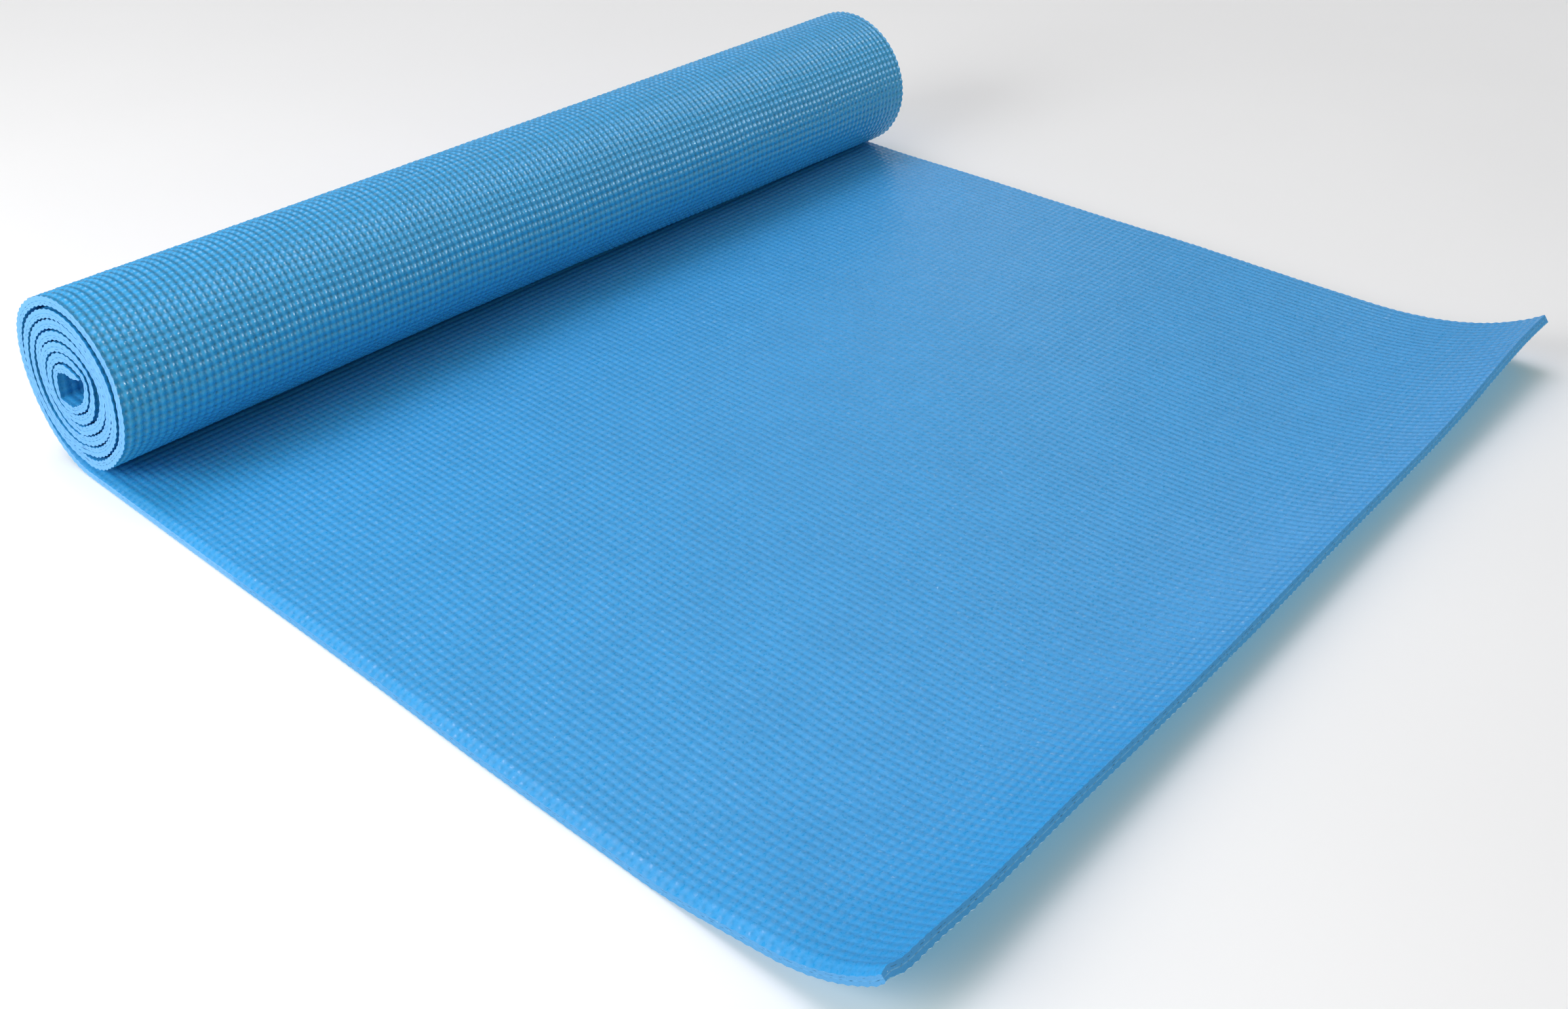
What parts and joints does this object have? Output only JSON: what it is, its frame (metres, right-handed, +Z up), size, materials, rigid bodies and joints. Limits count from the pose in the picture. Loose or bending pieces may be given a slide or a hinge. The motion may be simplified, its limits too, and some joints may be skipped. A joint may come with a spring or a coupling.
{
  "type": "yoga mat",
  "caption": "Textured foam exercise mat laid half open: a flat panel with a lifted free end, and the rest of the sheet wound into a roll that unrolls.",
  "frame": {"origin": "bottom centre of the whole object, on the floor", "axes": "+X across the mat, along the roll; +Y along its length from the free end towards the roll; +Z up"},
  "size_m": [0.61, 0.5606, 0.1004],
  "materials": {
    "top_foam": "matt foamed PVC, embossed with rows of rounded bumps",
    "bottom_foam": "satin foamed PVC, embossed with a square grid of rounded bumps",
    "scrim": "open plain-weave polyester yarn"
  },
  "bodies": {
    "flat_panel": {"flat_panel_bottom_foam": "bottom_foam", "flat_panel_scrim": "scrim", "flat_panel_top_foam": "top_foam"},
    "curl_strip_1": {"curl_strip_1_bottom_foam": "bottom_foam", "curl_strip_1_scrim": "scrim", "curl_strip_1_top_foam": "top_foam"},
    "curl_strip_2": {"curl_strip_2_bottom_foam": "bottom_foam", "curl_strip_2_scrim": "scrim", "curl_strip_2_top_foam": "top_foam"},
    "curl_strip_3": {"curl_strip_3_bottom_foam": "bottom_foam", "curl_strip_3_scrim": "scrim", "curl_strip_3_top_foam": "top_foam"},
    "curl_strip_4": {"curl_strip_4_bottom_foam": "bottom_foam", "curl_strip_4_scrim": "scrim", "curl_strip_4_top_foam": "top_foam"},
    "wrap_strip_01": {"wrap_strip_01_bottom_foam": "bottom_foam", "wrap_strip_01_scrim": "scrim", "wrap_strip_01_top_foam": "top_foam"},
    "wrap_strip_02": {"wrap_strip_02_bottom_foam": "bottom_foam", "wrap_strip_02_scrim": "scrim", "wrap_strip_02_top_foam": "top_foam"},
    "wrap_strip_03": {"wrap_strip_03_bottom_foam": "bottom_foam", "wrap_strip_03_scrim": "scrim", "wrap_strip_03_top_foam": "top_foam"},
    "wrap_strip_04": {"wrap_strip_04_bottom_foam": "bottom_foam", "wrap_strip_04_scrim": "scrim", "wrap_strip_04_top_foam": "top_foam"},
    "wrap_strip_05": {"wrap_strip_05_bottom_foam": "bottom_foam", "wrap_strip_05_scrim": "scrim", "wrap_strip_05_top_foam": "top_foam"},
    "wrap_strip_06": {"wrap_strip_06_bottom_foam": "bottom_foam", "wrap_strip_06_scrim": "scrim", "wrap_strip_06_top_foam": "top_foam"},
    "wrap_strip_07": {"wrap_strip_07_bottom_foam": "bottom_foam", "wrap_strip_07_scrim": "scrim", "wrap_strip_07_top_foam": "top_foam"},
    "wrap_strip_08": {"wrap_strip_08_bottom_foam": "bottom_foam", "wrap_strip_08_scrim": "scrim", "wrap_strip_08_top_foam": "top_foam"},
    "wrap_strip_09": {"wrap_strip_09_bottom_foam": "bottom_foam", "wrap_strip_09_scrim": "scrim", "wrap_strip_09_top_foam": "top_foam"},
    "wrap_strip_10": {"wrap_strip_10_bottom_foam": "bottom_foam", "wrap_strip_10_scrim": "scrim", "wrap_strip_10_top_foam": "top_foam"},
    "wrap_strip_11": {"wrap_strip_11_bottom_foam": "bottom_foam", "wrap_strip_11_scrim": "scrim", "wrap_strip_11_top_foam": "top_foam"},
    "wrap_strip_12": {"wrap_strip_12_bottom_foam": "bottom_foam", "wrap_strip_12_scrim": "scrim", "wrap_strip_12_top_foam": "top_foam"},
    "wrap_strip_13": {"wrap_strip_13_bottom_foam": "bottom_foam", "wrap_strip_13_scrim": "scrim", "wrap_strip_13_top_foam": "top_foam"},
    "wrap_strip_14": {"wrap_strip_14_bottom_foam": "bottom_foam", "wrap_strip_14_scrim": "scrim", "wrap_strip_14_top_foam": "top_foam"},
    "wound_core": {"wound_core_bottom_foam": "bottom_foam", "wound_core_scrim": "scrim", "wound_core_top_foam": "top_foam"}
  },
  "joints": [
    {"name": "unroll_01", "type": "hinge", "parent": "flat_panel", "child": "wrap_strip_01", "pos_m": [0, 0.23011, 0.0027], "axis": [-1, 0, 0], "range_deg": [0, 18]},
    {"name": "unroll_02", "type": "hinge", "parent": "wrap_strip_01", "child": "wrap_strip_02", "pos_m": [0, 0.25803, 0.01177], "axis": [-1, 0, 0], "range_deg": [0, 36]},
    {"name": "unroll_03", "type": "hinge", "parent": "wrap_strip_02", "child": "wrap_strip_03", "pos_m": [0, 0.27529, 0.03552], "axis": [-1, 0, 0], "range_deg": [0, 36]},
    {"name": "unroll_04", "type": "hinge", "parent": "wrap_strip_03", "child": "wrap_strip_04", "pos_m": [0, 0.27529, 0.06488], "axis": [-1, 0, 0], "range_deg": [0, 36.01]},
    {"name": "unroll_05", "type": "hinge", "parent": "wrap_strip_04", "child": "wrap_strip_05", "pos_m": [0, 0.25803, 0.08863], "axis": [-1, 0, 0], "range_deg": [0, 36]},
    {"name": "unroll_06", "type": "hinge", "parent": "wrap_strip_05", "child": "wrap_strip_06", "pos_m": [0, 0.23011, 0.0977], "axis": [-1, 0, 0], "range_deg": [0, 36]},
    {"name": "unroll_07", "type": "hinge", "parent": "wrap_strip_06", "child": "wrap_strip_07", "pos_m": [0, 0.20219, 0.08863], "axis": [-1, 0, 0], "range_deg": [0, 36]},
    {"name": "unroll_08", "type": "hinge", "parent": "wrap_strip_07", "child": "wrap_strip_08", "pos_m": [0, 0.18493, 0.06488], "axis": [-1, 0, 0], "range_deg": [0, 38.94]},
    {"name": "unroll_09", "type": "hinge", "parent": "wrap_strip_08", "child": "wrap_strip_09", "pos_m": [0, 0.18641, 0.036], "axis": [-1, 0, 0], "range_deg": [0, 40.03]},
    {"name": "unroll_10", "type": "hinge", "parent": "wrap_strip_09", "child": "wrap_strip_10", "pos_m": [0, 0.20517, 0.01587], "axis": [-1, 0, 0], "range_deg": [0, 31.01]},
    {"name": "unroll_11", "type": "hinge", "parent": "wrap_strip_10", "child": "wrap_strip_11", "pos_m": [0, 0.23011, 0.0087], "axis": [-1, 0, 0], "range_deg": [0, 34.04]},
    {"name": "unroll_12", "type": "hinge", "parent": "wrap_strip_11", "child": "wrap_strip_12", "pos_m": [0, 0.2545, 0.01663], "axis": [-1, 0, 0], "range_deg": [0, 36]},
    {"name": "unroll_13", "type": "hinge", "parent": "wrap_strip_12", "child": "wrap_strip_13", "pos_m": [0, 0.26958, 0.03738], "axis": [-1, 0, 0], "range_deg": [0, 36]},
    {"name": "unroll_14", "type": "hinge", "parent": "wrap_strip_13", "child": "wrap_strip_14", "pos_m": [0, 0.26958, 0.06302], "axis": [-1, 0, 0], "range_deg": [0, 36]},
    {"name": "unroll_15", "type": "hinge", "parent": "wrap_strip_14", "child": "wound_core", "pos_m": [0, 0.2545, 0.08377], "axis": [-1, 0, 0], "range_deg": [0, 18.01]},
    {"name": "curl_1", "type": "hinge", "parent": "flat_panel", "child": "curl_strip_1", "pos_m": [0, -0.16459, 0.0027], "axis": [-1, 0, 0], "range_deg": [-2.55, 10], "stiffness_Nm_per_rad": 4.8, "springref_deg": 1.52},
    {"name": "curl_2", "type": "hinge", "parent": "curl_strip_1", "child": "curl_strip_2", "pos_m": [0, -0.19388, 0.004], "axis": [-1, 0, 0], "range_deg": [-5.1, 20]},
    {"name": "curl_3", "type": "hinge", "parent": "curl_strip_2", "child": "curl_strip_3", "pos_m": [0, -0.22293, 0.00791], "axis": [-1, 0, 0], "range_deg": [-5.1, 20]},
    {"name": "curl_4", "type": "hinge", "parent": "curl_strip_3", "child": "curl_strip_4", "pos_m": [0, -0.25152, 0.01438], "axis": [-1, 0, 0], "range_deg": [-5.1, 20]}
  ],
  "couplings": [
    {"joint": "unroll_02", "follows": "unroll_01", "ratio": 2},
    {"joint": "unroll_03", "follows": "unroll_01", "ratio": 2},
    {"joint": "unroll_04", "follows": "unroll_01", "ratio": 2},
    {"joint": "unroll_05", "follows": "unroll_01", "ratio": 2},
    {"joint": "unroll_06", "follows": "unroll_01", "ratio": 2},
    {"joint": "unroll_07", "follows": "unroll_01", "ratio": 2},
    {"joint": "unroll_08", "follows": "unroll_01", "ratio": 2.1629},
    {"joint": "unroll_09", "follows": "unroll_01", "ratio": 2.2239},
    {"joint": "unroll_10", "follows": "unroll_01", "ratio": 1.7226},
    {"joint": "unroll_11", "follows": "unroll_01", "ratio": 1.8906},
    {"joint": "unroll_12", "follows": "unroll_01", "ratio": 2},
    {"joint": "unroll_13", "follows": "unroll_01", "ratio": 2},
    {"joint": "unroll_14", "follows": "unroll_01", "ratio": 2},
    {"joint": "unroll_15", "follows": "unroll_01", "ratio": 1.0002},
    {"joint": "curl_2", "follows": "curl_1", "ratio": 2},
    {"joint": "curl_3", "follows": "curl_1", "ratio": 2},
    {"joint": "curl_4", "follows": "curl_1", "ratio": 2}
  ]
}
